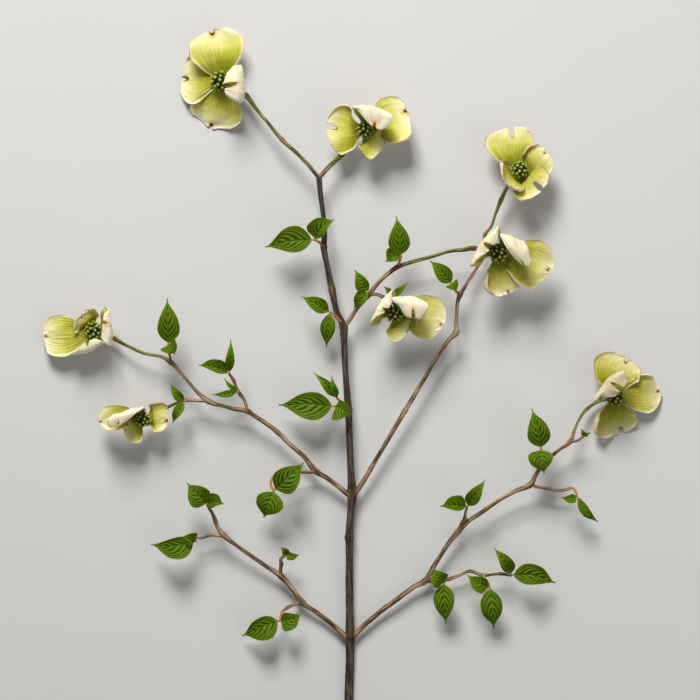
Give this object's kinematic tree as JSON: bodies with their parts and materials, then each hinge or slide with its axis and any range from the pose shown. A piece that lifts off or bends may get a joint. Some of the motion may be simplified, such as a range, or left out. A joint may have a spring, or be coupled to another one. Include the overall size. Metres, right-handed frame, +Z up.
{
  "type": "flowering dogwood branch",
  "caption": "Cut branch of flowering dogwood lying flat, with cream blooms of four notched bracts and pairs of young leaves.",
  "frame": {"origin": "bottom centre of the branch's box, on the surface that it lies on", "axes": "+Y along the main stem from the cut end to the tip, +Z up out of the surface, +X to the right seen from above with the tip away"},
  "size_m": [0.3972, 0.4412, 0.0459],
  "materials": {
    "bark": "rough grey-brown bark, olive green on the flower stalks",
    "bract": "soft satin plant tissue, cream to yellow-green with fine lengthwise veins and pink-brown rims",
    "flower_bud": "satin green buds",
    "leaf": "semi-matt young leaf with arched veins, pink-orange stalk"
  },
  "bodies": {
    "root": {"woody_branch": "bark", "bloom_1_bracts": "bract", "bloom_1_flowers": "flower_bud", "bloom_2_bracts": "bract", "bloom_2_flowers": "flower_bud", "bloom_3_bracts": "bract", "bloom_3_flowers": "flower_bud", "bloom_4_bracts": "bract", "bloom_4_flowers": "flower_bud", "bloom_5_bracts": "bract", "bloom_5_flowers": "flower_bud", "bloom_6_bracts": "bract", "bloom_6_flowers": "flower_bud", "bloom_7_bracts": "bract", "bloom_7_flowers": "flower_bud", "bloom_8_bracts": "bract", "bloom_8_flowers": "flower_bud", "leafy_shoot_01": "leaf", "leafy_shoot_02": "leaf", "leafy_shoot_03": "leaf", "leafy_shoot_04": "leaf", "leafy_shoot_05": "leaf", "leafy_shoot_06": "leaf", "leafy_shoot_07": "leaf", "leafy_shoot_08": "leaf", "leafy_shoot_09": "leaf", "leafy_shoot_10": "leaf", "leafy_shoot_11": "leaf", "leafy_shoot_12": "leaf", "leafy_shoot_13": "leaf", "leafy_shoot_14": "leaf", "leafy_shoot_15": "leaf", "leafy_shoot_16": "leaf", "leafy_shoot_17": "leaf", "leafy_shoot_18": "leaf", "leafy_shoot_19": "leaf", "leafy_shoot_20": "leaf", "leafy_shoot_21": "leaf", "leafy_shoot_22": "leaf", "leafy_shoot_23": "leaf", "leafy_shoot_24": "leaf"}
  },
  "joints": []
}
